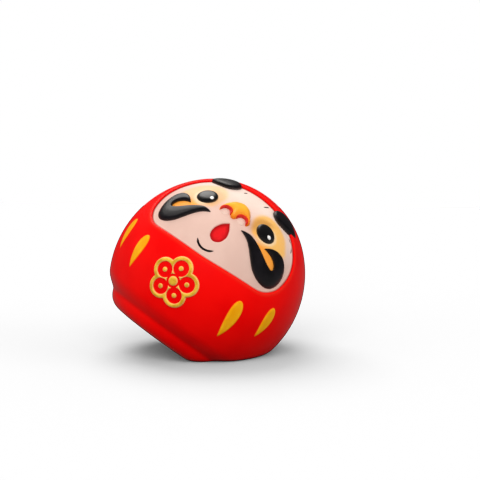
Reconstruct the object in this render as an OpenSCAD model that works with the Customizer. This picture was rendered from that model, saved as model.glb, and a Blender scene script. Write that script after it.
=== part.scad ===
// Leaning daruma doll: a round-bellied ceramic good-luck figure with a recessed face. It is cast
// mid-tumble and rests on a flat that is cut across its foot and belly.
// The origin lies on that flat, under the middle of the body. +Z is up and the face looks
// along -Y. "Left" and "right" are the sides of someone who looks at the face.

/* [Body] */
// Largest width of the body
body_w = 70; // [66:1:74]
// Height of the widest level above the underside of the foot
waist_h = 27.5; // [26:0.5:29]
// Radius of the upright curve of the body's side
side_r = 38; // [37:0.5:40]
// How far the centre of the crown lies above the waist
crown_rise = 3.5; // [2:0.5:5]
// Thickness of the cast wall over the crown and the foot
wall = 4.2; // [3.6:0.2:5]
// Diameter of the vent hole in the underside of the foot
vent_d = 7; // [4:0.5:10]

/* [Stance] */
// How far the doll leans to the right, in degrees
lean_side = 34; // [30:1:36]
// How far it leans back, in degrees
lean_back = 14; // [10:1:16]
// Height of the middle of the body above the flat that it rests on
rest_h = 26.6; // [26.4:0.2:28.4]

/* [Foot] */
// Diameter of the foot where it meets the belly
foot_top_d = 51; // [49:0.5:53]
// Diameter of the foot at its rounded lower edge
foot_d = 49.2; // [47:0.2:50]
// Radius of the foot's lower edge
foot_edge_r = 5; // [3:0.5:6]
// Radius that rolls the belly in towards the foot
belly_roll_r = 8; // [6:0.5:10]

/* [Face] */
// Elevation of the middle of the face, in degrees
face_el = 38; // [30:1:44]
// Turn of the hand-finished face on the body, in degrees
face_roll = 3; // [-4:1:4]
// Depth of the face below the hood
face_depth = 1; // [0.6:0.1:1.4]
// Thickness of the pale face inlay
face_t = 0.8; // [0.6:0.1:1.2]
// Height of the brows and the beard above the face
relief_t = 1.2; // [0.8:0.1:1.6]
// Diameter of an eye
eye_d = 7.6; // [6.6:0.2:8.4]
// Distance between the centres of the eyes
eye_gap = 24.4; // [22:0.2:26]

/* [Paint] */
// Thickness of a painted line or stripe
paint_t = 0.3; // [0.2:0.05:0.5]
// Height of the gold blossom on the belly
blossom_t = 0.7; // [0.5:0.1:1]
// Width across the blossom
blossom_d = 18.5; // [15:0.5:20]

/* [Hidden] */
$fn = 240;

red = "#d8170f";
ivory = "#f2d9c8";
black = "#17141a";
orange = "#f0951c";
gold = "#d9a832";
stripe_yellow = "#f5a31e";

far = 60;
left = -1;
right = 1;

// Everything is built upright on the middle of the foot, and stand() leans it into place.
// The body is turned about Z. Its outline is three arcs that run smoothly into each other:
// the side, the crown above it and the roll below it. Each has its centre here.
side_x = body_w / 2 - side_r;
crown_dir = [-side_x, crown_rise];
crown_r = side_r - norm(crown_dir);
hollow_r = (waist_h + crown_rise + crown_r) / 2 - wall;
crown_z = waist_h + crown_rise;
crown_join_z = waist_h + side_r * crown_rise / norm(crown_dir);
roll_drop = 13.8;
roll_x = side_x + sqrt(pow(side_r - belly_roll_r, 2) - pow(roll_drop, 2));
roll_z = waist_h - roll_drop;
roll_join_z = waist_h - side_r * roll_drop / (side_r - belly_roll_r);
crease_z = 5.6;

// The face lies on a chart, a plane square to the face's own direction,
// with x to the right and y up the face. Outlines on it are in millimetres.
eye_y = 5.3;
face_reach = body_w / 2 + 0.8;
dome_h = 1.4;
dome_r = 6.4;
glint_x = 1.9;
glint_drop = 1.1;
glint_r = 0.95;
nose_dome_r = 10;
nose_h = 2.2;
nose_y = 5;
nostril_r = 1.8;
nostril_h = 1.2;
nostril_line_w = 0.6;
nostril_line_t = 0.9;
nostril_x = 3.3;
nostril_y = 1.9;
brow_in = 3.4;
beard_narrow = 0.84;
beard_out = 2.2;

face_half = [
  [0, -16.6], [9, -15.6], [17.5, -13.2], [22.6, -10.4], [25.6, -5.6], [26.4, 0],
  [25.6, 5.6], [23, 10.8], [18, 15.8], [9.5, 19.2], [0, 20.2]
];
brow_points = [
  [8.9, 18.2], [10.2, 15.7], [12.6, 14.5], [15.6, 14.9], [18.2, 16], [20.4, 17.9],
  [19.4, 20.4], [17.3, 22.6], [14.3, 23.6], [11.3, 22.9], [9.4, 20.8]
];
beard_points = [
  [5, -1.3], [8, -2.4], [10.5, -4.2], [13.2, -6.8], [15.8, -8.9], [18.9, -9.8], [22, -9.1],
  [24.2, -6.9], [25.2, -3.6], [25.1, -0.2], [23.8, 2.8], [21.5, 4.3], [19, 3.9], [16.8, 2.3],
  [15, 0], [16.8, 0.2], [18.8, 0], [20.4, -0.8], [21.2, -2.2], [20.9, -3.4],
  [19, -3.3], [16.8, -2.6], [14, -1.5], [11.6, -0.7], [9, -0.2], [6.8, -0.6]
];
nose_points = [
  [-5.9, 3], [-4.8, 5.6], [-2.9, 8.4], [0.2, 9.7], [3.2, 8.4], [5, 5.6], [6.2, 3],
  [5.6, 1.2], [4.6, 3.4], [3.3, 4], [2, 3.4], [1, 1], [0.2, 0.6], [-0.8, 1],
  [-1.8, 3.4], [-3.1, 4], [-4.4, 3.4], [-5.4, 1.2]
];
mouth_points = [
  [0.6, -1.6], [-1.4, -3.4], [-2.7, -6.2], [-2.4, -9], [-0.4, -10.4], [1.8, -9.4],
  [2.7, -6.8], [2, -4]
];

// Stripes hang down the belly: azimuth, top height above the waist, length and outward turn.
stripe_inner_az = 34.5;
stripe_inner_top = 0.6;
stripe_inner_l_left = 13.4;
stripe_inner_l_right = 15.2;
stripe_inner_turn = 6;
stripe_outer_az = 57;
stripe_outer_top_left = 2.9;
stripe_outer_top_right = 5.2;
stripe_outer_l = 12.4;
stripe_w = 4.6;
blossom_az = -4;
blossom_el = -12;
petal_count = 5;
petal_r = blossom_d * 0.23;
petal_reach = blossom_d / 2 - petal_r;
petal_line = 1.5;
button_r = 1.6;
stamen_r = 0.9;

// A closed curve through hand-set points. It keeps a corner where the outline turns sharply.
smooth_steps = 4;
function turn_ok(a, b, c) = (b - a) * (c - b) > 0.25 * norm(b - a) * norm(c - b);
function slope(a, b, c) = turn_ok(a, b, c) ? (c - a) / 2 : [0, 0];
function hermite(p, m, q, n, t) =
  (2 * t * t * t - 3 * t * t + 1) * p + (t * t * t - 2 * t * t + t) * m
  + (3 * t * t - 2 * t * t * t) * q + (t * t * t - t * t) * n;
function at(list, i) = list[(i + len(list)) % len(list)];
function smooth(list) = [
  for (i = [0:len(list) - 1])
    for (k = [0:smooth_steps - 1])
      hermite(
        at(list, i), slope(at(list, i - 1), at(list, i), at(list, i + 1)),
        at(list, i + 1), slope(at(list, i), at(list, i + 1), at(list, i + 2)),
        k / smooth_steps
      )
];
function mirror_half(half) = concat(
  half, [for (i = [len(half) - 2:-1:1]) [-half[i].x, half[i].y]]
);

// A brush line along an arc, from angle a to angle b, that tapers at both ends.
line_steps = 14;
function line_edge(r, w, a, b, out, t) =
  (r + out * w * (0.12 + 0.38 * sin(180 * t))) * [cos(a + (b - a) * t), sin(a + (b - a) * t)];
function arc_line(r, w, a, b) = concat(
  [for (k = [0:line_steps]) line_edge(r, w, a, b, 1, k / line_steps)],
  [for (k = [line_steps:-1:0]) line_edge(r, w, a, b, -1, k / line_steps)]
);

// A stripe: round at the top, widest near a third of its length, drawn out to a point below.
// t runs down its length and is squared so that the round top gets more points.
stripe_steps = 14;
function stripe_half(t) = 1.27 * sqrt(t) * pow(1 - t, 0.95);
function stripe_lean(t) = 0.3 * pow(1 - t, 2) - 0.3 * (1 - t);
function stripe_edge(side, l, edge, k) =
  let (t = pow(k / stripe_steps, 2))
  [stripe_w * (edge * stripe_half(t) - side * stripe_lean(t)), -l * t];
function stripe_points(side, l) = concat(
  [for (k = [0:stripe_steps]) stripe_edge(side, l, -1, k)],
  [for (k = [stripe_steps - 1:-1:1]) stripe_edge(side, l, 1, k)]
);

// Half section of the body, grown outwards by d.
module section(d) {
  intersection() {
    translate([side_x, waist_h]) circle(r = side_r + d);
    union() {
      intersection() {
        translate([0, crown_z]) circle(r = crown_r + d);
        translate([0, crown_join_z]) square([far, far]);
      }
      translate([0, roll_join_z]) square([far, crown_join_z - roll_join_z]);
    }
    translate([0, -far]) square([far, 3 * far]);
  }
  translate([roll_x, roll_z]) circle(r = belly_roll_r + d);
  translate([0, roll_z - belly_roll_r - d]) square([roll_x, belly_roll_r]);
}

module skin(d) {
  rotate_extrude() section(d);
}

module foot_section() {
  edge_x = foot_d / 2 - foot_edge_r;
  translate([edge_x, foot_edge_r]) circle(r = foot_edge_r);
  square([edge_x, crease_z]);
  polygon([
    [0, foot_edge_r], [foot_d / 2, foot_edge_r],
    [foot_top_d / 2, crease_z], [0, crease_z]
  ]);
}

// A layer that follows the skin between two heights, cut to an outline.
module layer(low, high) {
  difference() {
    intersection() {
      skin(high);
      children();
    }
    skin(low);
  }
}

module towards(az, el, roll = 0) {
  translate([0, 0, waist_h]) rotate([0, 0, az]) rotate([90 - el, 0, 0]) rotate([0, 0, roll]) children();
}

module on_face() {
  towards(0, face_el, face_roll) children();
}

module face_prism(points) {
  on_face() linear_extrude(height = far) polygon(points);
}

// Turns +Z square to the face at a point of the chart.
module on_spot(p) {
  on_face() rotate([0, 0, atan2(p.y, p.x)]) rotate([0, asin(norm(p) / face_reach), 0]) children();
}

// A ball that stands h above the face at a point of the chart.
module face_dome(p, r, h) {
  on_spot(p) translate([0, 0, face_reach - face_depth + h - r]) sphere(r = r);
}

// Leans the upright doll about the middle of its body and sets it at its height.
module stand() {
  translate([0, 0, rest_h]) rotate([-lean_back, 0, 0]) rotate([0, lean_side, 0])
    translate([0, 0, -waist_h]) children();
}

// Everything above a level.
module above(z) {
  translate([-far, -far, z]) cube(2 * far);
}

// The outside of the upright doll with the pocket for the face.
module figure() {
  difference() {
    union() {
      skin(0);
      rotate_extrude() foot_section();
    }
    layer(-face_depth - face_t, 2) face_prism(smooth(mirror_half(face_half)));
  }
}

// The room inside the doll is round, so the wall is thinnest over the crown and the foot.
module hollow() {
  translate([0, 0, wall + hollow_r]) sphere(r = hollow_r);
}

module body_shell() {
  color(red) difference() {
    intersection() {
      stand() figure();
      above(0);
    }
    intersection() {
      stand() hollow();
      above(wall);
    }
    stand() translate([0, 0, -1]) cylinder(d = vent_d, h = roll_z);
  }
}

module face_panel() {
  color(ivory) stand() layer(-face_depth - face_t, -face_depth) difference() {
    face_prism(smooth(mirror_half(face_half)));
    face_prism(smooth(mouth_points));
  }
}

module brow(side) {
  shift = side == left ? -brow_in : 0;
  points = [for (p = smooth(brow_points)) [side * (p.x + shift), p.y]];
  color(black) stand() difference() {
    layer(-face_depth, relief_t - face_depth + 0.6) face_prism(points);
    figure();
  }
}

module brow_left() { brow(left); }
module brow_right() { brow(right); }

function eye_spot(side) = [side * eye_gap / 2, eye_y];

module eye(side) {
  color(black) stand() layer(-face_depth, dome_h) intersection() {
    face_dome(eye_spot(side), dome_r, dome_h);
    on_spot(eye_spot(side)) cylinder(d = eye_d, h = far);
  }
}

module eye_left() { eye(left); }
module eye_right() { eye(right); }

// Both glints sit on the same side of their eyes, as one lamp would leave them.
module eye_glint(side) {
  color("white") stand() difference() {
    intersection() {
      face_dome(eye_spot(side), dome_r + paint_t / 2, dome_h + paint_t / 2);
      on_spot(eye_spot(side) + [glint_x, -glint_drop]) translate([0, 0, far / 2]) cylinder(r = glint_r, h = far);
    }
    face_dome(eye_spot(side), dome_r, dome_h);
  }
}

module eye_glint_left() { eye_glint(left); }
module eye_glint_right() { eye_glint(right); }

module nostril_spot(side) {
  on_face() translate([side * nostril_x, nostril_y, 0]) children();
}

module nose() {
  color(orange) stand() difference() {
    intersection() {
      face_dome([0, nose_y], nose_dome_r, nose_h);
      face_prism(smooth(nose_points));
    }
    skin(-face_depth);
    for (side = [left, right])
      nostril_spot(side) cylinder(r = nostril_r + nostril_line_w, h = far);
  }
}

module nostril(side) {
  color(ivory) stand() difference() {
    face_dome([side * nostril_x, nostril_y], nostril_r, nostril_h);
    skin(-face_depth);
  }
}

module nostril_left() { nostril(left); }
module nostril_right() { nostril(right); }

// The red line runs round the nostril's upper edge.
module nostril_line(side) {
  color(red) stand() layer(-face_depth, nostril_line_t - face_depth)
    nostril_spot(side) linear_extrude(height = far)
      polygon(arc_line(nostril_r + nostril_line_w / 2, nostril_line_w, -10, 190));
}

module nostril_line_left() { nostril_line(left); }
module nostril_line_right() { nostril_line(right); }

module mouth() {
  color(red) stand() layer(-face_depth - face_t, -face_depth - face_t / 2)
    face_prism(smooth(mouth_points));
}

module chin_curl() {
  color(black) stand() layer(-face_depth, paint_t - face_depth)
    on_face() translate([-1.2, -9.8, 0])
      linear_extrude(height = far) polygon(arc_line(4.7, 1, -156, -44));
}

module beard(side) {
  k = side == left ? beard_narrow : 1;
  shift = side == left ? beard_out : 0;
  tip_x = beard_points[0].x;
  points = [for (p = smooth(beard_points)) [side * (tip_x + shift + k * (p.x - tip_x)), p.y]];
  color(black) stand() layer(-face_depth, relief_t - face_depth) face_prism(points);
}

module beard_left() { beard(left); }
module beard_right() { beard(right); }

module forehead_dashes() {
  color(black) stand() layer(-face_depth, paint_t - face_depth)
    for (x = [-3, 6])
      on_face() translate([x, 17.4, 0]) rotate([0, 0, 64])
        linear_extrude(height = far) square([2.4, 0.6], center = true);
}

module temple_line() {
  color("gray") stand() layer(-face_depth, paint_t - face_depth)
    on_face() translate([17, 9.6, 0])
      linear_extrude(height = far) polygon(arc_line(5, 0.5, 20, 75));
}

// The emblem is a plum blossom of five round petals, drawn as raised lines.
module petal_ring(r) {
  for (k = [0:petal_count - 1])
    rotate([0, 0, 90 + 360 / petal_count * k]) translate([petal_reach, 0, 0]) circle(r = r);
}

module blossom_petals() {
  color(gold) stand() layer(0, blossom_t)
    towards(blossom_az, blossom_el) linear_extrude(height = far) difference() {
      petal_ring(petal_r);
      petal_ring(petal_r - petal_line);
      circle(r = button_r + 0.7);
    }
}

// The middle of the blossom is a round button, and each petal has a dot in it.
module blossom_centre() {
  color(gold) stand() layer(0, blossom_t)
    towards(blossom_az, blossom_el) linear_extrude(height = far) {
      circle(r = button_r);
      petal_ring(stamen_r);
    }
}

module stripe(side, az, top, l, turn = 0) {
  color(stripe_yellow) stand() layer(0, paint_t)
    towards(side * az, 0) translate([0, top, 0]) rotate([0, 0, side * turn])
      linear_extrude(height = far) polygon(stripe_points(side, l));
}

module stripe_inner_left() {
  stripe(left, stripe_inner_az, stripe_inner_top, stripe_inner_l_left, stripe_inner_turn);
}

module stripe_inner_right() {
  stripe(right, stripe_inner_az, stripe_inner_top, stripe_inner_l_right, stripe_inner_turn);
}

module stripe_outer_left() { stripe(left, stripe_outer_az, stripe_outer_top_left, stripe_outer_l); }
module stripe_outer_right() { stripe(right, stripe_outer_az, stripe_outer_top_right, stripe_outer_l); }

body_shell();
face_panel();
brow_left();
brow_right();
eye_left();
eye_right();
eye_glint_left();
eye_glint_right();
nose();
nostril_left();
nostril_right();
nostril_line_left();
nostril_line_right();
mouth();
chin_curl();
beard_left();
beard_right();
forehead_dashes();
temple_line();
blossom_petals();
blossom_centre();
stripe_inner_left();
stripe_inner_right();
stripe_outer_left();
stripe_outer_right();
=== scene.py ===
import math

import bmesh
import bpy
import numpy as np
from mathutils import Matrix, Vector
from mathutils.geometry import delaunay_2d_cdt


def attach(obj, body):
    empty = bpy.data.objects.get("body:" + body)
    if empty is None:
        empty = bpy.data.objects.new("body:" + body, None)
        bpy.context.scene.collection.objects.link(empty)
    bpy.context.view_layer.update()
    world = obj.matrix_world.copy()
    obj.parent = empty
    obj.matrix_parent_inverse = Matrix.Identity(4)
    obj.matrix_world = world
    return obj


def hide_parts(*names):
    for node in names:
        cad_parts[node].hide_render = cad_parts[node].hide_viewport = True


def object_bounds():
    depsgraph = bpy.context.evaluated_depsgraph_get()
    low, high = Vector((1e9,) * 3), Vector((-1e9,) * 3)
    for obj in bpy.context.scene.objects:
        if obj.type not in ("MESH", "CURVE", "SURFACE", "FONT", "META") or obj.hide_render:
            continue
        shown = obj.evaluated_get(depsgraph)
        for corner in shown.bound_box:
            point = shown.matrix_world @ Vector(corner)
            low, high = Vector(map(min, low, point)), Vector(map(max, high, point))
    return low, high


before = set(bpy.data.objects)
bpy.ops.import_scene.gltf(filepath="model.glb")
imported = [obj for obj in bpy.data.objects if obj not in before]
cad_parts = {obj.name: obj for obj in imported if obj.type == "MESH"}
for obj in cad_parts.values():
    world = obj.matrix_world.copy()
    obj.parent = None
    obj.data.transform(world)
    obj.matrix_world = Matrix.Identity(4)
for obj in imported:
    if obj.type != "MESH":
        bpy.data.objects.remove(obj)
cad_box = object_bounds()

MM = 0.001
scene = bpy.context.scene

# ---------------------------------------------------------------- the body's skin, in mm

WAIST = 27.5
CENTRE = np.array([0.0, 0.0, WAIST])
SIDE_X, SIDE_R = -3.0, 38.0
CROWN_RISE = 3.5
CROWN_R = SIDE_R - math.hypot(SIDE_X, CROWN_RISE)
ROLL_DROP, ROLL_R = 13.8, 8.0
ROLL_X = SIDE_X + math.sqrt((SIDE_R - ROLL_R) ** 2 - ROLL_DROP ** 2)
CROWN_ANGLE = math.atan2(CROWN_RISE, -SIDE_X)
ROLL_ANGLE = math.atan2(-ROLL_DROP, ROLL_X - SIDE_X)
FACE_LEVEL = -1.0
LEAN_SIDE, LEAN_BACK, REST_H, WALL = 34, 14, 26.6, 4.2
HOLLOW_R = (WAIST + CROWN_RISE + CROWN_R) / 2 - WALL
VENT_R = 3.5
MEAN_R = 34.0  # about how far the skin is from the body's centre
FACE_ROLL = 3
POCKET = -1.8  # the body under the face panel, from the skin
UNDER_PANEL, UNDER_MOUTH = -1.9, -1.95  # the undersides of the face panel and the mouth
MOUTH_FLOOR = -1.36  # the rim of the mouth's hollow, from the skin
UNDER_FACE = -1.5  # the underside of what is raised on the face, from the skin
UNDER_LINE = -1.3  # the same for a thin painted line
UNDER_SKIN = -0.3  # the underside of what is raised on the belly
LEAN = np.array(
    Matrix.Rotation(math.radians(-LEAN_BACK), 3, "X") @ Matrix.Rotation(math.radians(LEAN_SIDE), 3, "Y")
)


def stand(p):
    """Leans upright points about the middle of the body and sets them at their height."""
    return (p - CENTRE) @ LEAN.T + (0, 0, REST_H)


def skin_gap(p):
    """Distance of points outside the skin, and the skin's normal there."""
    rho = np.maximum(np.hypot(p[:, 0], p[:, 1]), 1e-9)
    z = p[:, 2] - WAIST
    angle = np.arctan2(z, rho - SIDE_X)
    crown = angle > CROWN_ANGLE
    roll = angle < ROLL_ANGLE
    cx = np.where(crown, 0.0, np.where(roll, ROLL_X, SIDE_X))
    cz = np.where(crown, CROWN_RISE, np.where(roll, -ROLL_DROP, 0.0))
    r = np.where(crown, CROWN_R, np.where(roll, ROLL_R, SIDE_R))
    vx, vz = rho - cx, z - cz
    length = np.maximum(np.hypot(vx, vz), 1e-9)
    side = vx / length
    normal = np.stack([side * p[:, 0] / rho, side * p[:, 1] / rho, vz / length], axis=1)
    return length - r, normal


def reach(directions, d=0.0):
    """Points on the skin grown by d, seen from the body's centre."""
    t = np.full(len(directions), MEAN_R)
    for _ in range(12):
        gap, normal = skin_gap(CENTRE + directions * t[:, None])
        t += (d - gap) / np.maximum((normal * directions).sum(1), 0.3)
    return CENTRE + directions * t[:, None]


class Chart:
    """A plane square to a direction; x to its right, y up it, in mm."""

    def __init__(self, az, el, roll=0.0):
        a, e, r = math.radians(az), math.radians(el), math.radians(roll)
        across = np.array([math.cos(a), math.sin(a), 0.0])
        self.out = np.array([math.sin(a) * math.cos(e), -math.cos(a) * math.cos(e), math.sin(e)])
        up = np.cross(self.out, across)
        self.x = across * math.cos(r) + up * math.sin(r)
        self.y = up * math.cos(r) - across * math.sin(r)

    def lift(self, xy, d=0.0):
        """Points of the chart carried along its direction to the skin grown by d."""
        flat = CENTRE + xy[:, :1] * self.x + xy[:, 1:2] * self.y
        h = np.full(len(xy), 30.0)
        for _ in range(14):
            gap, normal = skin_gap(flat + h[:, None] * self.out)
            h += (d - gap) / np.maximum(normal @ self.out, 0.3)
        return flat + h[:, None] * self.out


FACE = Chart(0, 38, FACE_ROLL)
EMBLEM = Chart(-4, -12)

# ---------------------------------------------------------------- outlines, in chart mm


def hermite(t, a, b, slope_a, slope_b):
    """The cubic curve from a to b that leaves and arrives with the given slopes."""
    return (
        (2 * t ** 3 - 3 * t ** 2 + 1) * a + (t ** 3 - 2 * t ** 2 + t) * slope_a
        + (3 * t ** 2 - 2 * t ** 3) * b + (t ** 3 - t ** 2) * slope_b
    )


def smooth(points, steps=8):
    """A closed curve through given points that keeps its sharp corners."""
    p = np.array(points, float)
    before, after = np.roll(p, 1, 0), np.roll(p, -1, 0)
    a, b = p - before, after - p
    bend = (a * b).sum(1) / (np.linalg.norm(a, axis=1) * np.linalg.norm(b, axis=1))
    slope = np.where(bend[:, None] > 0.25, (after - before) / 2, 0.0)
    out = []
    for i in range(len(p)):
        j = (i + 1) % len(p)
        out += [hermite(k / steps, p[i], p[j], slope[i], slope[j]) for k in range(steps)]
    return np.array(out)


def open_curve(points, steps):
    """A smooth open curve through given points."""
    p = np.array(points, float)
    slope = np.gradient(p, axis=0)
    t = (np.arange(steps) / steps)[:, None]
    parts = [hermite(t, p[i], p[i + 1], slope[i], slope[i + 1]) for i in range(len(p) - 1)]
    return np.concatenate(parts + [p[-1:]])


def arc(x, y, r, start, end, steps):
    """Points along a stretch of a circle, with its ends in degrees."""
    t = np.radians(np.linspace(start, end, steps))
    return np.stack([x + r * np.cos(t), y + r * np.sin(t)], axis=1)


def ring(x, y, r, steps=48):
    return arc(x, y, r, 0, 360, steps + 1)[:-1]


def brush_arc(x, y, r, w, start, end, steps=28):
    """A brush line along an arc that tapers at both ends."""
    t = np.linspace(0, 1, steps + 1)
    a = np.radians(start + (end - start) * t)
    half = w * (0.12 + 0.38 * np.minimum(1, 2.2 * np.sin(np.pi * t)))
    ray = np.stack([np.cos(a), np.sin(a)], axis=1)
    return np.array([x, y]) + np.concatenate([(r + half)[:, None] * ray, ((r - half)[:, None] * ray)[::-1]])


def turned(points, x, y, degrees):
    """Points turned about the origin and then moved to x, y."""
    a = math.radians(degrees)
    c, s = math.cos(a), math.sin(a)
    p = np.array(points, float)
    return np.stack([x + c * p[:, 0] - s * p[:, 1], y + s * p[:, 0] + c * p[:, 1]], axis=1)


def outward_of(loop):
    """Unit normals pointing out of a closed outline drawn anticlockwise."""
    along = np.roll(loop, -1, 0) - np.roll(loop, 1, 0)
    normal = np.stack([along[:, 1], -along[:, 0]], axis=1)
    return normal / np.maximum(np.linalg.norm(normal, axis=1)[:, None], 1e-9)


FACE_HALF = [
    (0, -16.6), (9, -15.6), (17.5, -13.2), (22.6, -10.4), (25.6, -5.6), (26.4, 0),
    (25.6, 5.6), (23, 10.8), (18, 15.8), (9.5, 19.2), (0, 20.2),
]
BROW = [
    (8.9, 18.2), (10.2, 15.7), (12.6, 14.5), (15.6, 14.9), (18.2, 16), (20.4, 17.9),
    (19.4, 20.4), (17.3, 22.6), (14.3, 23.6), (11.3, 22.9), (9.4, 20.8),
]
BEARD = [
    (5, -1.3), (8, -2.4), (10.5, -4.2), (13.2, -6.8), (15.8, -8.9), (18.9, -9.8), (22, -9.1),
    (24.2, -6.9), (25.2, -3.6), (25.1, -0.2), (23.8, 2.8), (21.5, 4.3), (19, 3.9), (16.8, 2.3),
    (15, 0), (16.8, 0.2), (18.8, 0), (20.4, -0.8), (21.2, -2.2), (20.9, -3.4),
    (19, -3.3), (16.8, -2.6), (14, -1.5), (11.6, -0.7), (9, -0.2), (6.8, -0.6),
]
NOSE = [
    (-5.9, 3), (-4.8, 5.6), (-2.9, 8.4), (0.2, 9.7), (3.2, 8.4), (5, 5.6), (6.2, 3),
    (5.6, 1.2), (4.6, 3.4), (3.3, 4), (2, 3.4), (1, 1), (0.2, 0.6), (-0.8, 1),
    (-1.8, 3.4), (-3.1, 4), (-4.4, 3.4), (-5.4, 1.2),
]
MOUTH = [
    (0.6, -1.6), (-1.4, -3.4), (-2.7, -6.2), (-2.4, -9), (-0.4, -10.4), (1.8, -9.4),
    (2.7, -6.8), (2, -4),
]
EYES = [(-12.2, 5.3), (12.2, 5.3)]

face_line = smooth(FACE_HALF + [(-x, y) for x, y in FACE_HALF[-2:0:-1]], 16)
mouth_line = smooth(MOUTH)

# ---------------------------------------------------------------- mesh tools


def inside(points, loops):
    """Even-odd test, so a loop inside another is a hole."""
    hit = np.zeros(len(points), bool)
    x, y = points[:, 0], points[:, 1]
    for loop in loops:
        for (x0, y0), (x1, y1) in zip(loop, np.roll(loop, -1, 0)):
            if y0 == y1:
                continue
            cross = ((y0 > y) != (y1 > y)) & (x < x0 + (y - y0) * (x1 - x0) / (y1 - y0))
            hit ^= cross
    return hit


def edge_distance(points, loops):
    """Distance to the nearest outline."""
    best = np.full(len(points), 1e9)
    for loop in loops:
        for a, b in zip(loop, np.roll(loop, -1, 0)):
            ab = b - a
            t = np.clip(((points - a) @ ab) / max(ab @ ab, 1e-12), 0, 1)
            best = np.minimum(best, np.linalg.norm(points - a - t[:, None] * ab, axis=1))
    return best


def signed(points, loop):
    """Distance inside a closed outline, negative outside it."""
    d = edge_distance(points, [loop])
    return np.where(inside(points, [loop]), d, -d)


def step(t, low, high):
    """Eases from 0 at low to 1 at high."""
    t = np.clip((t - low) / (high - low), 0, 1)
    return t * t * (3 - 2 * t)


def triangulate(loops, insets, grid):
    """Flat triangles over an outline with holes, finer next to its edges."""
    points, edges = [], []
    for loop in loops:
        n, start = len(loop), len(points)
        points += list(loop)
        edges += [(start + i, start + (i + 1) % n) for i in range(n)]
    extra = []
    for loop in loops:
        normal = outward_of(loop)
        for e in insets:
            for sign in (1, -1):
                q = loop + sign * e * normal
                keep = inside(q, loops)
                q = q[keep]
                if len(q):
                    extra.append(q[edge_distance(q, loops) > 0.93 * e])
    everything = np.concatenate(loops)
    low, high = everything.min(0), everything.max(0)
    row = grid * math.sqrt(3) / 2
    ys = np.arange(low[1] + grid * 0.37, high[1], row)
    cells = []
    for k, y in enumerate(ys):
        xs = np.arange(low[0] + (0.31 + 0.5 * (k % 2)) * grid, high[0], grid)
        cells.append(np.stack([xs, np.full(len(xs), y)], axis=1))
    cells = np.concatenate(cells)
    cells = cells[inside(cells, loops)]
    extra.append(cells[edge_distance(cells, loops) > insets[-1] + 0.45 * grid])
    for block in extra:
        points += list(block)
    verts, _, faces, _, _, _ = delaunay_2d_cdt(
        [Vector((float(x), float(y))) for x, y in points], edges, [], 0, 1e-4
    )
    verts = np.array([(v.x, v.y) for v in verts])
    faces = np.array([f[:3] for f in faces])
    faces = faces[inside(verts[faces].mean(1), loops)]
    return verts, faces


def as_object(name, points, faces, attributes=None):
    """A smooth closed mesh from points of the finished, leaning doll in mm."""
    mesh = bpy.data.meshes.new(name)
    mesh.from_pydata([tuple(p * MM) for p in points], [], [tuple(int(i) for i in f) for f in faces])
    for key, values in (attributes or {}).items():
        layer = mesh.attributes.new(key, "FLOAT", "POINT")
        layer.data.foreach_set("value", np.asarray(values, np.float32))
    work = bmesh.new()
    work.from_mesh(mesh)
    bmesh.ops.recalc_face_normals(work, faces=work.faces)
    work.to_mesh(mesh)
    work.free()
    mesh.polygons.foreach_set("use_smooth", [True] * len(mesh.polygons))
    mesh.update()
    obj = bpy.data.objects.new(name, mesh)
    scene.collection.objects.link(obj)
    return obj


def relief(name, chart, shapes, low, height, insets, grid, paint=None):
    """Closed raised pieces: height(xy, d) is the top above the skin, low the underside."""
    points, faces, values, count = [], [], {}, 0
    for loops in shapes:
        flat, tris = triangulate(loops, insets, grid)
        d = edge_distance(flat, loops)
        top = chart.lift(flat, height(flat, d))
        under = chart.lift(flat, low)
        n = len(flat)
        directed = dict.fromkeys(e for a, b, c in tris for e in ((a, b), (b, c), (c, a)))
        rim = [e for e in directed if (e[1], e[0]) not in directed]
        points += [top, under]
        faces += [(a + count, b + count, c + count) for a, b, c in tris]
        faces += [(c + count + n, b + count + n, a + count + n) for a, b, c in tris]
        faces += [(b + count, a + count, a + count + n, b + count + n) for a, b in rim]
        sets = {"edge": d}
        sets.update(paint(flat, d) if paint else {})
        for key, v in sets.items():
            values.setdefault(key, []).append(np.concatenate([v, v]))
        count += 2 * n
    attributes = {key: np.concatenate(v) for key, v in values.items()}
    return as_object(name, stand(np.concatenate(points)), faces, attributes)


def round_over(d, r):
    """A quarter circle: 0 at the edge and 1 from r inwards."""
    return np.sqrt(1 - (1 - np.clip(d / r, 0, 1)) ** 2)


def pillow(level, rise, r, sink=0.15, dome=0.0, reach_mm=6.0):
    """A top that rises steeply from its edge and rounds over within r."""

    def height(xy, d):
        s = np.clip(d / reach_mm, 0, 1)
        return level - sink + (rise + sink) * round_over(d, r) + dome * (1 - (1 - s) ** 2)

    return height


def insets_for(r):
    """Where the mesh needs its rows of points for an edge that rounds over within r."""
    return [r * k for k in (0.06, 0.17, 0.33, 0.54, 0.78, 1.05)]


# ---------------------------------------------------------------- the red body

N = 480
FAR = 40.0  # a distance from the hood's edge that is past all its colouring
EDGE_SOFT = 1.5  # how far above the flat the body's edge begins to ease into it
LIP_R, LIP_DEPTH, SEAM_Z = 1.3, 1.25, 12.0


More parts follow.
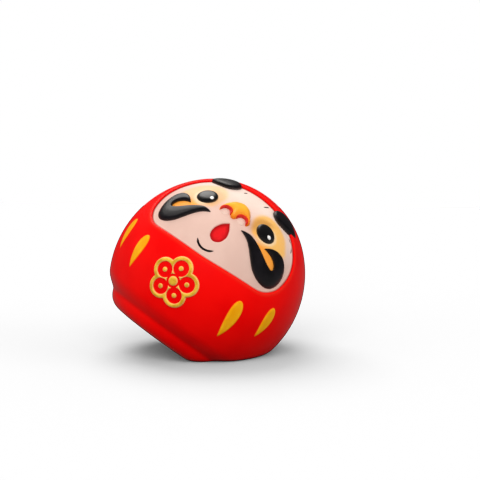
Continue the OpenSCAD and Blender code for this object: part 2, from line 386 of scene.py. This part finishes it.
def body_mesh():
    """Rings from the face pocket over the hood to the foot, then through the vent round the hollow.

    Each point keeps roughly how far it is from the hood's edge, and its height on the upright doll.
    """
    roll = math.radians(FACE_ROLL)
    hub = np.array([0, 2.0])
    turn = np.array([[math.cos(roll), math.sin(roll)], [-math.sin(roll), math.cos(roll)]])
    level = face_line @ turn
    polar = np.arctan2(level[:, 1] - hub[1], level[:, 0])
    radius = np.hypot(level[:, 0], level[:, 1] - hub[1])
    order = np.argsort(polar)
    psi = -math.pi + 2 * math.pi * np.arange(N) / N
    r = np.interp(psi, polar[order], radius[order], period=2 * math.pi)
    outline = np.stack([r * np.cos(psi), hub[1] + r * np.sin(psi)], axis=1) @ turn.T
    outward = outward_of(outline)

    rows, rim = [], []
    for k in (0.12, 0.3, 0.5, 0.7, 0.88, 1.0):
        rows.append(FACE.lift(hub + (outline - hub) * k, POCKET))
        rim.append(np.zeros(N))
    for s in (0.0, 0.03, 0.09, 0.18, 0.3, 0.45, 0.63, 0.84, 1.07, 1.3):
        depth = -LIP_DEPTH * (1 - math.sqrt(max(0.0, 1 - (1 - s / LIP_R) ** 2)))
        rows.append(FACE.lift(outline + s * outward, depth))
        rim.append(np.full(N, s))
    start = rows[-1] - CENTRE
    start /= np.linalg.norm(start, axis=1)[:, None]
    seam_r = SIDE_X + math.sqrt(SIDE_R ** 2 - (SEAM_Z - WAIST) ** 2)
    seam = np.stack([seam_r * np.cos(psi), seam_r * np.sin(psi), np.full(N, SEAM_Z - WAIST)], axis=1)
    end = seam / np.linalg.norm(seam, axis=1)[:, None]
    angle = np.arccos(np.clip((start * end).sum(1), -1, 1))
    steps = 90
    for k in range(1, steps + 1):
        t = (k / steps) ** 1.1
        way = (
            np.sin((1 - t) * angle)[:, None] * start + np.sin(t * angle)[:, None] * end
        ) / np.sin(angle)[:, None]
        rows.append(reach(way))
        rim.append(LIP_R + t * angle * MEAN_R)

    seam_angle = math.asin((SEAM_Z - WAIST) / SIDE_R)
    profile = [(SIDE_X + SIDE_R * math.cos(a), WAIST + SIDE_R * math.sin(a))
               for a in np.linspace(seam_angle, ROLL_ANGLE, 9)[1:]]
    profile += [(ROLL_X + ROLL_R * math.cos(a), WAIST - ROLL_DROP + ROLL_R * math.sin(a))
                for a in np.radians(np.arange(-29, -44, -2))]
    profile += list(open_curve([
        (29.3, 8.04), (28.3, 7.15), (27.3, 6.35), (26.5, 5.72), (25.95, 5.25), (25.6, 4.8), (25.35, 4.3),
        (25.05, 3.6), (24.5, 2.7), (23.7, 1.75), (22.5, 0.85), (21.1, 0.25), (19.4, 0),
    ], 3))
    profile += [(r, 0) for r in (17.5, 14, 10.5, 7, 4.6)]
    profile += [(VENT_R + 0.45, 0.08), (VENT_R + 0.1, 0.35), (VENT_R, 0.8), (VENT_R, 2.4)]
    outer_rows = len(rows) + len(profile)
    hollow_z = WALL + HOLLOW_R
    profile += [(HOLLOW_R * math.cos(a), hollow_z + HOLLOW_R * math.sin(a))
                for a in np.linspace(-math.acos(VENT_R / HOLLOW_R), math.pi / 2, 34)[:-1]]
    for radius_mm, z in profile:
        rows.append(np.stack([radius_mm * np.cos(psi), radius_mm * np.sin(psi), np.full(N, z)], axis=1))
        rim.append(np.full(N, FAR))

    points = np.concatenate(rows)
    rim = np.concatenate(rim)
    faces = []
    for k in range(len(rows) - 1):
        for i in range(N):
            j = (i + 1) % N
            faces.append((k * N + i, k * N + j, (k + 1) * N + j, (k + 1) * N + i))
    first, last = len(points), len(points) + 1
    centre = FACE.lift(hub[None], POCKET)
    points = np.concatenate([points, centre, [[0, 0, hollow_z + HOLLOW_R]]])
    rim = np.concatenate([rim, [0, FAR]])
    end_row = (len(rows) - 1) * N
    for i in range(N):
        j = (i + 1) % N
        faces.append((j, i, first))
        faces.append((end_row + i, end_row + j, last))
    level_mm = points[:, 2].copy()
    points = stand(points)
    z = points[:, 2]
    outer = np.arange(len(z)) < outer_rows * N
    outer[first] = True
    eased = (z + EDGE_SOFT) ** 2 / (4 * EDGE_SOFT)
    flat = np.where(z > EDGE_SOFT, z, np.where(z < -EDGE_SOFT, 0, eased))
    points[:, 2] = np.where(outer, flat, np.maximum(z, WALL))
    return as_object("Body", points, faces, {"rim": rim, "level_mm": level_mm})


body = body_mesh()

# ---------------------------------------------------------------- the face panel and its paint

PATCH = [
    (7.9, 1.7), (6, 7.2), (7.2, 11.4), (10.2, 13.9), (14.2, 13.7), (18, 11.8), (20.6, 8.2),
    (21.6, 6), (20.6, 3), (17, 0.6), (12.3, 0.2), (9.5, 0.7),
]
SLIT = [(14, 0.8), (17, 2.6), (20, 1.6), (22, -1), (22, -4), (19, -4.6), (14, -2.6), (10, -0.6)]


def mirrored(points, k, shift, about=5.0):
    """The same outline on the left side, k times as wide and moved outwards by shift."""
    return [(-(about + shift + k * (x - about)), y) for x, y in points][::-1]


def face_paint(xy, d):
    """How much of each wash of colour, and of the painted highlight and painted shade round each eye, lies
    at each point of the face.
    """
    ochre, deep, socket_highlight, socket_shade = (np.zeros(len(xy)) for _ in range(4))
    for side in (-1, 1):
        patch = smooth([(side * x, y) for x, y in PATCH][::side])
        slit = smooth([(side * x, y) for x, y in SLIT][::side])
        eye = np.array(EYES[0] if side < 0 else EYES[1])
        off = xy - eye
        far = np.hypot(off[:, 0], off[:, 1])
        inward = -side * off[:, 0]
        wash = 0.55 if side < 0 else 1.0
        ochre = np.maximum(ochre, wash * step(signed(xy, patch), -0.9, 1.1))
        ochre = np.maximum(ochre, step(signed(xy, slit), -0.6, 1.0))
        deep = np.maximum(deep, step(signed(xy, slit), -0.4, 1.2))
        deep = np.maximum(deep, 0.6 * wash * step(-off[:, 1], 1.0, 5.0) * step(signed(xy, patch), -0.6, 2.0))
        # painted highlight: a pale cream crescent on the lower outer side round each eye, for the lit wall
        # of its shallow hollow
        socket_highlight = np.maximum(socket_highlight, (1 - step(far, 3.9, 5.0)) * step(-inward - 0.4 * off[:, 1], -1.5, 1.5))
        # painted shade: a brown crescent on the upper inner side round each eye, for the shaded wall of its
        # hollow; fainter on the left
        socket_shade = np.maximum(
            socket_shade, (0.35 if side < 0 else 1.0) * step(far, 3.5, 4.1) * (1 - step(far, 4.6, 7.4))
            * step(inward + 0.5 * off[:, 1], 0.5, 4.0)
        )
    return {
        "ochre": ochre, "deep": deep, "socket_highlight": socket_highlight, "socket_shade": socket_shade,
        "chart_y": xy[:, 1], "lip": np.maximum(0, signed(xy, face_line)),
        "mouth_gap": edge_distance(xy, [mouth_line]),
    }


def face_height(xy, d):
    """The panel's top: it dips into the mouth and lifts a little at the hood's lip."""
    hole = 0.4 * (1 - round_over(edge_distance(xy, [mouth_line]), 0.6))
    rise = 0.15 * (1 - step(signed(xy, face_line), 0.0, 0.6))
    return FACE_LEVEL - hole + rise


grown = face_line + 0.35 * outward_of(face_line)
face = relief(
    "FacePanel", FACE, [[grown, mouth_line]], UNDER_PANEL, face_height,
    [0.15, 0.35, 0.6, 0.95, 1.4], 0.55, face_paint,
)

mouth = relief(
    "Mouth", FACE, [[smooth([(x * 1.12, (y + 6) * 1.05 - 6) for x, y in MOUTH])]], UNDER_MOUTH,
    lambda xy, d: MOUTH_FLOOR - 0.22 * step(d, 0.3, 2.6), [0.2, 0.5, 0.9], 0.35,
    lambda xy, d: {"chart_y": xy[:, 1]},
)

# ---------------------------------------------------------------- brows, eyes, nose, beard

brow_line = smooth(BROW)
brow_left_line = smooth([(-(x - 3.4), y) for x, y in BROW][::-1])
brow_top = pillow(FACE_LEVEL, 1.45, 1.5, dome=0.3)
brows = [
    relief(name, FACE, [[line]], UNDER_FACE, brow_top, insets_for(1.5), 0.45)
    for name, line in (("BrowLeft", brow_left_line), ("BrowRight", brow_line))
]
beard_top = pillow(FACE_LEVEL, 1.05, 1.1, dome=0.3)
beards = [
    relief(name, FACE, [[smooth(points)]], UNDER_FACE, beard_top, insets_for(1.1), 0.45)
    for name, points in (("BeardLeft", mirrored(BEARD, 0.84, 2.2)), ("BeardRight", BEARD))
]
EYE_R = 3.7
eye_top = pillow(FACE_LEVEL, 1.0, 1.6, dome=0.35, reach_mm=EYE_R)


def glint_top(ex, ey):
    """A flat drop of white that follows the dome of its eye."""

    def height(xy, d):
        on_eye = eye_top(xy, EYE_R - np.hypot(xy[:, 0] - ex, xy[:, 1] - ey))
        return on_eye + 0.12 * round_over(d, 0.4)

    return height


eyes, glints = [], []
for side_name, (ex, ey) in zip(("Left", "Right"), EYES):
    eyes.append(relief(
        "Eye" + side_name, FACE, [[ring(ex, ey, EYE_R, 72)]], UNDER_FACE, eye_top, insets_for(1.6), 0.35,
    ))
    glints.append(relief(
        "EyeGlint" + side_name, FACE, [[ring(ex + 1.9, ey - 1.1, 0.72, 40)]], -0.3, glint_top(ex, ey),
        [0.06, 0.16, 0.3], 0.2,
    ))


def nose_top(xy, d):
    """Round over the nostrils and lower towards the bridge."""
    return FACE_LEVEL - 0.15 + 2.1 * round_over(d, 2.6) * (1 - 0.25 * step(xy[:, 1], 5, 10))


nose = relief(
    "Nose", FACE, [[smooth(NOSE)]], UNDER_FACE, nose_top, insets_for(1.4), 0.35,
    lambda xy, d: {"chart_x": xy[:, 0], "chart_y": xy[:, 1]},
)
NOSTRIL_R = 1.75
nostrils, nostril_lines = [], []
for side_name, k in (("Left", -1), ("Right", 1)):
    nx, ny = 3.3 * k, 1.9
    nostrils.append(relief(
        "Nostril" + side_name, FACE, [[ring(nx, ny, NOSTRIL_R, 48)]], UNDER_FACE,
        pillow(FACE_LEVEL, 0.3, NOSTRIL_R), insets_for(1.2), 0.3,
    ))
    nostril_lines.append(relief(
        "NostrilLine" + side_name, FACE, [[brush_arc(nx, ny, 2.05, 1.0, -14, 190)]], UNDER_FACE,
        pillow(FACE_LEVEL, 1.2, 0.3), [0.08, 0.16, 0.26], 0.3,
    ))
curl = relief(
    "ChinCurl", FACE, [[brush_arc(-1.2, -9.8, 4.7, 0.85, -152, -44)]], UNDER_LINE,
    pillow(FACE_LEVEL, 0.12, 0.3), [0.08, 0.18, 0.3], 0.3,
)


def dash(x, half):
    """A short, slanting brush mark under the hood."""
    stroke = [(-half, -0.15), (0, -0.38), (half, -0.2), (half, 0.15), (0, 0.36), (-half, 0.2)]
    return smooth(turned(stroke, x, 17.4, 64))


dashes = relief(
    "ForeheadDashes", FACE, [[dash(-3, 0.9)], [dash(6, 1.5)]], UNDER_LINE,
    pillow(FACE_LEVEL, 0.1, 0.25), [0.08, 0.18], 0.25,
)
temple = relief(
    "TempleLine", FACE, [[brush_arc(17, 9.6, 5.2, 0.55, 5, 75)]], UNDER_LINE,
    pillow(FACE_LEVEL, 0.08, 0.2), [0.06, 0.14], 0.25,
)

# ---------------------------------------------------------------- blossom and stripes on the belly

PETAL_R, PETAL_OUT, PETAL_LINE, BUTTON = 4.25, 5.0, 1.5, 1.7


def blossom_loops():
    """The blossom's outer line, and the inner one that leaves a spoke between petals."""
    hole_r = PETAL_R - PETAL_LINE
    mid_r = BUTTON + 0.7
    touch = math.degrees(math.acos(-(PETAL_OUT ** 2 + hole_r ** 2 - mid_r ** 2) / (2 * PETAL_OUT * hole_r)))
    meet = math.degrees(math.acos((PETAL_OUT ** 2 + mid_r ** 2 - hole_r ** 2) / (2 * PETAL_OUT * mid_r)))
    half = math.sin(math.radians(36)) * PETAL_OUT
    cut = 180 - 54 - math.degrees(math.acos(half / PETAL_R))
    outer, inner = [], []
    for k in range(5):
        turn = 90 + 72 * k
        outer.append(turned(arc(PETAL_OUT, 0, PETAL_R, -cut, cut, 26)[:-1], 0, 0, turn))
        inner.append(turned(arc(PETAL_OUT, 0, hole_r, -touch, touch, 30), 0, 0, turn))
        inner.append(turned(arc(0, 0, mid_r, meet, 72 - meet, 8)[1:-1], 0, 0, turn))
    return [np.concatenate(outer), np.concatenate(inner)]


petals = relief(
    "BlossomPetals", EMBLEM, [blossom_loops()], UNDER_SKIN, pillow(0, 0.7, 0.62), insets_for(0.58), 0.3,
)
dots = [[turned(ring(PETAL_OUT, 0, 0.9, 32), 0, 0, 90 + 72 * k)] for k in range(5)]
blossom_mid = relief(
    "BlossomCentre", EMBLEM, [[ring(0, 0, BUTTON, 44)]] + dots, UNDER_SKIN,
    pillow(0, 0.7, 0.85), insets_for(0.6), 0.3,
)


def stripe(name, side, az, top, length, width, turn):
    """A drop that hangs from its round top and leans outwards; top is its height above the waist."""
    t = np.linspace(0, 1, 41) ** 2
    half = 1.27 * np.sqrt(t) * (1 - t) ** 0.95
    lean = 0.3 * (1 - t) ** 2 - 0.3 * (1 - t)
    left = np.stack([width * (-half - side * lean), -length * t], axis=1)
    right = np.stack([width * (half - side * lean), -length * t], axis=1)
    loop = turned(np.concatenate([left, right[-2:0:-1]]), 0, top, side * turn)
    return relief(
        name, Chart(side * az, 0), [[loop]], UNDER_SKIN, pillow(0, 0.22, 0.7, sink=0.1),
        [0.08, 0.2, 0.4, 0.7], 0.4,
    )


stripes = [
    stripe("StripeInnerLeft", -1, 34.5, 0.6, 13.4, 4.5, 5),
    stripe("StripeInnerRight", 1, 34.5, 0.6, 15.2, 4.8, 6),
    stripe("StripeOuterLeft", -1, 57, 2.9, 12.4, 4.5, 0),
    stripe("StripeOuterRight", 1, 57, 5.2, 12.4, 4.5, 2),
]

# ---------------------------------------------------------------- materials


class Glaze:
    """A small helper to write one procedural material."""

    def __init__(self, name, roughness, coat=0.0, coat_roughness=0.1, specular=0.5):
        self.mat = bpy.data.materials.new(name)
        self.mat.use_nodes = True
        self.tree = self.mat.node_tree
        self.tree.nodes.clear()
        self.out = self.tree.nodes.new("ShaderNodeOutputMaterial")
        self.bsdf = self.tree.nodes.new("ShaderNodeBsdfPrincipled")
        self.tree.links.new(self.bsdf.outputs[0], self.out.inputs[0])
        self.bsdf.inputs["Roughness"].default_value = roughness
        self.bsdf.inputs["Coat Weight"].default_value = coat
        self.bsdf.inputs["Coat Roughness"].default_value = coat_roughness
        self.bsdf.inputs["Specular IOR Level"].default_value = specular
        coord = self.tree.nodes.new("ShaderNodeTexCoord")
        self.place = coord.outputs["Object"]

    def put(self, socket, value):
        if isinstance(value, bpy.types.NodeSocket):
            self.tree.links.new(value, socket)
        else:
            socket.default_value = value

    def noise(self, scale, detail=3.0, rough=0.5):
        node = self.tree.nodes.new("ShaderNodeTexNoise")
        self.tree.links.new(self.place, node.inputs["Vector"])
        node.inputs["Scale"].default_value = scale
        node.inputs["Detail"].default_value = detail
        node.inputs["Roughness"].default_value = rough
        return node.outputs["Fac"]

    def value(self, name):
        node = self.tree.nodes.new("ShaderNodeAttribute")
        node.attribute_name = name
        return node.outputs["Fac"]

    def math(self, kind, a, b=0.0):
        node = self.tree.nodes.new("ShaderNodeMath")
        node.operation = kind
        self.put(node.inputs[0], a)
        self.put(node.inputs[1], b)
        return node.outputs[0]

    def ramp(self, fac, low, high, out_low=0.0, out_high=1.0):
        """A smooth change from out_low to out_high while fac goes from low to high."""
        node = self.tree.nodes.new("ShaderNodeMapRange")
        node.interpolation_type = "SMOOTHSTEP"
        self.put(node.inputs["Value"], fac)
        for key, v in (("From Min", low), ("From Max", high), ("To Min", out_low), ("To Max", out_high)):
            node.inputs[key].default_value = v
        return node.outputs[0]

    def mix(self, fac, a, b):
        node = self.tree.nodes.new("ShaderNodeMix")
        node.data_type = "RGBA"
        self.put(node.inputs[0], fac)
        for socket, colour in ((node.inputs[6], a), (node.inputs[7], b)):
            self.put(socket, colour if isinstance(colour, bpy.types.NodeSocket) else (*colour, 1.0))
        return node.outputs[2]

    def band(self, fac, rise_from, rise_to, fall_from, fall_to):
        """1 between rise_to and fall_from, and easing to 0 on both sides of them."""
        rise = self.ramp(fac, rise_from, rise_to)
        return self.math("MULTIPLY", rise, self.ramp(fac, fall_from, fall_to, 1.0, 0.0))

    def tint(self, base, colour, mask, amount):
        """A colour laid over base where the mask is, no stronger than amount."""
        return self.mix(self.math("MULTIPLY", mask, amount), base, colour)

    def finish(self, colour, bump=None, strength=0.2, distance=0.0001, roughness=None):
        self.put(self.bsdf.inputs["Base Color"], colour)
        if roughness is not None:
            self.put(self.bsdf.inputs["Roughness"], roughness)
        if bump is not None:
            node = self.tree.nodes.new("ShaderNodeBump")
            node.inputs["Strength"].default_value = strength
            node.inputs["Distance"].default_value = distance
            self.put(node.inputs["Height"], bump)
            self.tree.links.new(node.outputs[0], self.bsdf.inputs["Normal"])
        return self.mat


def srgb(r, g, b):
    """A colour from its values of 0 to 255."""

    def line(v):
        v /= 255
        return v / 12.92 if v <= 0.04045 else ((v + 0.055) / 1.055) ** 2.4

    return line(r), line(g), line(b)


def red_glaze():
    g = Glaze("RedGlaze", 0.42, specular=0.1)
    cloud = g.noise(70, 3)
    base = g.mix(g.ramp(cloud, 0.35, 0.68), srgb(242, 0, 0), srgb(250, 4, 1))
    level = g.value("level_mm")
    # painted shade: darker red in the crease between the belly and the foot
    groove_shade = g.band(level, 3.6, 5.6, 5.9, 7.6)
    base = g.tint(base, srgb(130, 0, 2), groove_shade, 0.15)
    rim = g.value("rim")
    # painted shade: darker red at the foot of the hood's lip, where it drops into the face pocket
    edge = g.ramp(rim, 0.0, 0.5, 1.0, 0.0)
    base = g.tint(base, srgb(150, 2, 2), edge, 0.75)
    # painted highlight: lighter orange-red along the rounded top of the hood's lip
    lip_highlight = g.band(rim, 0.5, 1.0, 1.0, 2.2)
    base = g.tint(base, srgb(236, 50, 26), lip_highlight, 0.35)
    # lighter, pinker red along the lowest millimetre of the foot
    bottom_band = g.band(level, 0.0, 0.1, 0.15, 1.0)
    base = g.tint(base, srgb(214, 70, 54), bottom_band, 0.5)
    wave = g.noise(160, 2)
    return g.finish(base, wave, 0.12, 0.0003, g.ramp(cloud, 0.3, 0.7, 0.3, 0.4))


def ivory_glaze():
    g = Glaze("IvoryGlaze", 0.45, coat=0.05, coat_roughness=0.2, specular=0.2)
    cloud = g.noise(120, 3)
    # painted light: the face grows lighter towards its top, as if lit from above
    up = g.ramp(g.value("chart_y"), 0, 18)
    base = g.mix(up, srgb(219, 182, 167), srgb(244, 222, 208))
    base = g.tint(base, srgb(232, 198, 182), g.ramp(cloud, 0.35, 0.7), 0.35)
    grain = g.noise(1500, 2)
    ochre = g.math("MULTIPLY", g.value("ochre"), g.ramp(grain, 0.25, 0.7, 0.82, 1.0))
    base = g.mix(ochre, base, srgb(250, 188, 92))
    base = g.tint(base, srgb(250, 156, 50), g.value("deep"), 0.9)
    # painted shade round the upper inner side of each eye
    base = g.tint(base, srgb(176, 112, 40), g.value("socket_shade"), 0.6)
    # painted highlight round the lower outer side of each eye
    base = g.tint(base, srgb(250, 226, 190), g.value("socket_highlight"), 0.6)
    # the red's edge on the ivory, darkened with painted shade where the hood's wall meets the face
    base = g.mix(g.ramp(g.value("lip"), 0.0, 0.45, 0.7, 0.0), base, srgb(176, 66, 48))
    base = g.mix(g.ramp(g.value("mouth_gap"), 0.0, 0.3, 0.6, 0.0), base, srgb(200, 60, 50))
    return g.finish(base, g.noise(260, 2), 0.1, 0.0002)


def black_enamel():
    g = Glaze("BlackEnamel", 0.36, coat=0.4, coat_roughness=0.45)
    cloud = g.noise(220, 3)
    base = g.mix(g.ramp(cloud, 0.35, 0.7), srgb(8, 6, 9), srgb(20, 15, 21))
    base = g.mix(g.ramp(g.value("edge"), 0.0, 0.3, 0.4, 0.0), base, srgb(40, 20, 16))
    return g.finish(base, g.noise(420, 2), 0.18, 0.0002, g.ramp(cloud, 0.3, 0.7, 0.38, 0.5))


def eye_enamel():
    g = Glaze("EyeEnamel", 0.44, coat=0.8, coat_roughness=0.4, specular=0.6)
    base = g.mix(g.ramp(g.noise(300, 2), 0.35, 0.7), srgb(8, 7, 9), srgb(16, 14, 17))
    return g.finish(base, g.noise(300, 2), 0.08, 0.0002)


def white_enamel():
    g = Glaze("WhiteEnamel", 0.3)
    base = g.mix(g.ramp(g.value("edge"), 0.0, 0.35), srgb(214, 208, 204), srgb(252, 250, 246))
    return g.finish(base, g.noise(900, 2), 0.08, 0.0001)


def orange_glaze():
    g = Glaze("OrangeGlaze", 0.34, coat=0.1, coat_roughness=0.2, specular=0.3)
    slope = g.math("SUBTRACT", g.value("chart_y"), g.math("MULTIPLY", g.value("chart_x"), 0.55))
    base = g.mix(g.ramp(slope, -1.5, 8.5), srgb(244, 124, 6), srgb(252, 186, 52))
    base = g.mix(g.ramp(g.value("edge"), 0.0, 0.5, 0.5, 0.0), base, srgb(220, 92, 14))
    base = g.tint(base, srgb(250, 150, 40), g.ramp(g.noise(350, 3), 0.4, 0.7), 0.25)
    return g.finish(base, g.noise(350, 2), 0.12, 0.0002)


def nostril_glaze():
    g = Glaze("NostrilGlaze", 0.45, specular=0.2)
    base = g.mix(g.ramp(g.value("edge"), 0.0, 0.3), srgb(222, 176, 158), srgb(226, 192, 176))
    base = g.tint(base, srgb(230, 196, 180), g.ramp(g.noise(500, 2), 0.4, 0.7), 0.3)
    return g.finish(base, g.noise(500, 2), 0.08, 0.0001)


def mouth_red():
    g = Glaze("MouthRed", 0.45, specular=0.15)
    # painted shade: the mouth is darker red near its edge, along the walls of its hollow
    base = g.mix(g.ramp(g.value("edge"), 0.3, 1.8), srgb(168, 2, 6), srgb(226, 20, 26))
    base = g.tint(base, srgb(170, 12, 16), g.ramp(g.noise(500, 3), 0.4, 0.7), 0.3)
    return g.finish(base, g.noise(400, 2), 0.12, 0.0002)


def red_line():
    g = Glaze("RedLine", 0.4)
    base = g.mix(g.ramp(g.noise(600, 2), 0.35, 0.7), srgb(208, 24, 10), srgb(226, 44, 22))
    return g.finish(base, g.noise(600, 2), 0.1, 0.0001)


def grey_line():
    g = Glaze("GreyLine", 0.5)
    base = g.mix(g.ramp(g.noise(800, 2), 0.35, 0.7), srgb(84, 60, 58), srgb(120, 96, 92))
    return g.finish(base, g.noise(800, 2), 0.1, 0.0001)


def gold_enamel():
    g = Glaze("GoldEnamel", 0.38, specular=0.3)
    wash = g.noise(300, 4, 0.6)
    core = g.mix(g.ramp(wash, 0.38, 0.62), srgb(204, 156, 24), srgb(242, 194, 58))
    # painted highlight: a lighter band just inside the edge of the raised gold
    base = g.mix(g.ramp(g.value("edge"), 0.12, 0.5, 0.9, 0.0), core, srgb(255, 204, 116))
    # painted shadow: a darker orange line along the very edge of the raised gold
    base = g.mix(g.ramp(g.value("edge"), 0.0, 0.12, 0.7, 0.0), base, srgb(220, 110, 40))
    return g.finish(base, wash, 0.25, 0.0002, g.ramp(wash, 0.3, 0.7, 0.3, 0.48))


def stripe_yellow():
    g = Glaze("StripeYellow", 0.42, specular=0.1)
    wash = g.noise(260, 3)
    core = g.mix(g.ramp(wash, 0.35, 0.68), srgb(252, 168, 4), srgb(255, 188, 26))
    core = g.mix(g.ramp(g.value("edge"), 0.5, 1.4, 0.0, 0.45), core, srgb(238, 160, 14))
    base = g.mix(g.ramp(g.value("edge"), 0.0, 0.4, 0.9, 0.0), core, srgb(240, 92, 16))
    return g.finish(base, wash, 0.15, 0.0002)


def dress(pieces, nodes, material):
    """Gives pieces their material, hangs them under the root body and hides the CAD nodes they stand in for.
    """
    for piece, node in zip(pieces, nodes):
        piece.data.materials.append(material)
        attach(piece, "root")
        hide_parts(node)


black = black_enamel()
gold = gold_enamel()
lines = red_line()
dress([body], ["body_shell"], red_glaze())
dress([face], ["face_panel"], ivory_glaze())
dress(brows, ["brow_left", "brow_right"], black)
dress(beards, ["beard_left", "beard_right"], black)
dress(eyes, ["eye_left", "eye_right"], eye_enamel())
dress(glints, ["eye_glint_left", "eye_glint_right"], white_enamel())
dress([nose], ["nose"], orange_glaze())
dress(nostrils, ["nostril_left", "nostril_right"], nostril_glaze())
dress(nostril_lines, ["nostril_line_left", "nostril_line_right"], lines)
dress([mouth], ["mouth"], mouth_red())
dress([curl, dashes], ["chin_curl", "forehead_dashes"], black)
dress([temple], ["temple_line"], grey_line())
dress([petals, blossom_mid], ["blossom_petals", "blossom_centre"], gold)
dress(
    stripes, ["stripe_inner_left", "stripe_inner_right", "stripe_outer_left", "stripe_outer_right"],
    stripe_yellow(),
)

# ---------------------------------------------------------------- floor, light and camera


def from_view(az, el):
    """The direction from the object towards a viewer at this azimuth and elevation."""
    a, e = math.radians(az), math.radians(el)
    return Vector((math.sin(a) * math.cos(e), -math.cos(a) * math.cos(e), math.sin(e)))


low, high = cad_box
middle = Vector([(low[i] + high[i]) / 2 for i in range(3)])

FLOOR_HALF = 0.6
FLOOR_DROP = 0.00005  # keeps the floor off the doll's flat
corners = [(x * FLOOR_HALF, y * FLOOR_HALF, 0) for x, y in ((-1, -1), (1, -1), (1, 1), (-1, 1))]
floor_mesh = bpy.data.meshes.new("Floor")
floor_mesh.from_pydata(corners, [], [(0, 1, 2, 3)])
floor = bpy.data.objects.new("Floor", floor_mesh)
scene.collection.objects.link(floor)
floor.location = (0, 0, -FLOOR_DROP)
floor.is_shadow_catcher = True
floor_look = Glaze("FloorPaper", 0.9)
floor_mesh.materials.append(floor_look.finish(
    floor_look.mix(floor_look.noise(30, 2), (0.14, 0.14, 0.14), (0.17, 0.17, 0.17))
))

# White to the camera, about half as bright as soft light and dim in reflections.
world = bpy.data.worlds.new("Studio")
scene.world = world
world.use_nodes = True
tree = world.node_tree
tree.nodes.clear()
backdrop = tree.nodes.new("ShaderNodeBackground")
backdrop.inputs["Color"].default_value = (1, 1, 1, 1)
backdrop.inputs["Strength"].default_value = 1.0
room = tree.nodes.new("ShaderNodeBackground")
room.inputs["Color"].default_value = (1, 1, 1, 1)
path = tree.nodes.new("ShaderNodeLightPath")
soft = tree.nodes.new("ShaderNodeMapRange")
soft.inputs["To Min"].default_value = 0.05
soft.inputs["To Max"].default_value = 0.54
tree.links.new(path.outputs["Is Diffuse Ray"], soft.inputs["Value"])
tree.links.new(soft.outputs[0], room.inputs["Strength"])
either = tree.nodes.new("ShaderNodeMixShader")
tree.links.new(path.outputs["Is Camera Ray"], either.inputs[0])
tree.links.new(room.outputs[0], either.inputs[1])
tree.links.new(backdrop.outputs[0], either.inputs[2])
tree.links.new(either.outputs[0], tree.nodes.new("ShaderNodeOutputWorld").inputs[0])

scene.view_settings.view_transform = "Standard"

camera_data = bpy.data.cameras.new("Camera")
camera_data.lens = 102.93
camera_data.sensor_width = 36
camera = bpy.data.objects.new("Camera", camera_data)
scene.collection.objects.link(camera)
aim = Vector((0.0116, 0.0032, 0.0404))
STAND_OFF = 0.5  # metres from the aim to the camera
back = from_view(8.0, 6.4)
camera.location = aim + STAND_OFF * back
camera.rotation_euler = back.to_track_quat("Z", "Y").to_euler()
scene.camera = camera


def soft_light(name, direction, distance, size, power, sheen=True, colour=(1, 1, 1)):
    data = bpy.data.lights.new(name, "AREA")
    data.shape = "DISK"
    data.size = size
    data.energy = power
    data.color = colour
    light = bpy.data.objects.new(name, data)
    scene.collection.objects.link(light)
    light.location = middle + distance * direction
    light.rotation_euler = direction.to_track_quat("Z", "Y").to_euler()
    light.visible_glossy = sheen


soft_light("TopBox", from_view(-150, 62), 0.7, 0.6, 2.6, colour=(1, 0.97, 0.93))
soft_light("FrontBox", from_view(4, 34), 1.0, 0.9, 6.4, sheen=False)
soft_light("SideBox", from_view(78, 14), 0.8, 0.6, 1.5, sheen=False)
soft_light("LowBox", from_view(-50, 3), 0.8, 0.5, 0.9, sheen=False)
